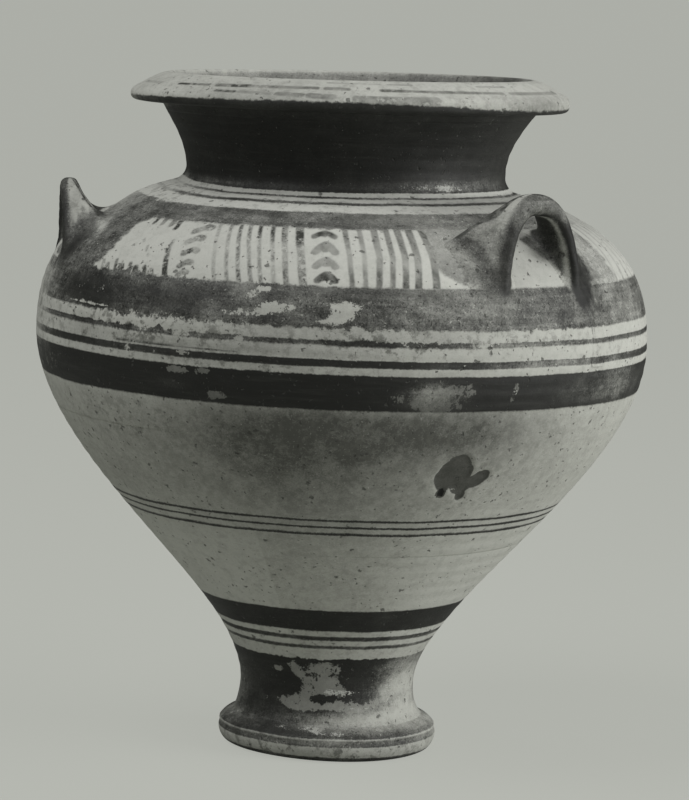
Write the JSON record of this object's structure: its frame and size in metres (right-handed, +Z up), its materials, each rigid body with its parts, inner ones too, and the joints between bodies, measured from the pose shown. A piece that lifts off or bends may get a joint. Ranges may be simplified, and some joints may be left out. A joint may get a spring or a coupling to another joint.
{
  "type": "three-handled storage jar",
  "caption": "Pear-shaped painted clay storage jar with a wide sloping lip, three upright strap handles on the shoulder, a narrow stem and a rolled foot.",
  "frame": {"origin": "centre of the foot's resting ring, at the level of the surface it stands on", "axes": "+Z up along the jar's axis; the side seen in the picture faces roughly -Y, turned 20 degrees towards +X"},
  "size_m": [0.4164, 0.4164, 0.46],
  "materials": {
    "bare_clay": "unglazed, smoothed with a slip, stained and pitted",
    "worn_paint": "dark slip paint, worn through to the clay",
    "dark_paint": "dark slip paint, dull satin"
  },
  "bodies": {
    "root": {"foot_roll": "dark_paint", "foot_stem": "dark_paint", "lower_body": "bare_clay", "middle_body": "bare_clay", "belly": "worn_paint", "shoulder": "bare_clay", "neck": "dark_paint", "lip": "bare_clay", "handle_right": "worn_paint", "root_pad_right_near": "worn_paint", "root_pad_right_far": "worn_paint", "handle_back": "worn_paint", "root_pad_back_near": "worn_paint", "root_pad_back_far": "worn_paint", "handle_left": "worn_paint", "root_pad_left_near": "worn_paint", "root_pad_left_far": "worn_paint"}
  },
  "joints": []
}
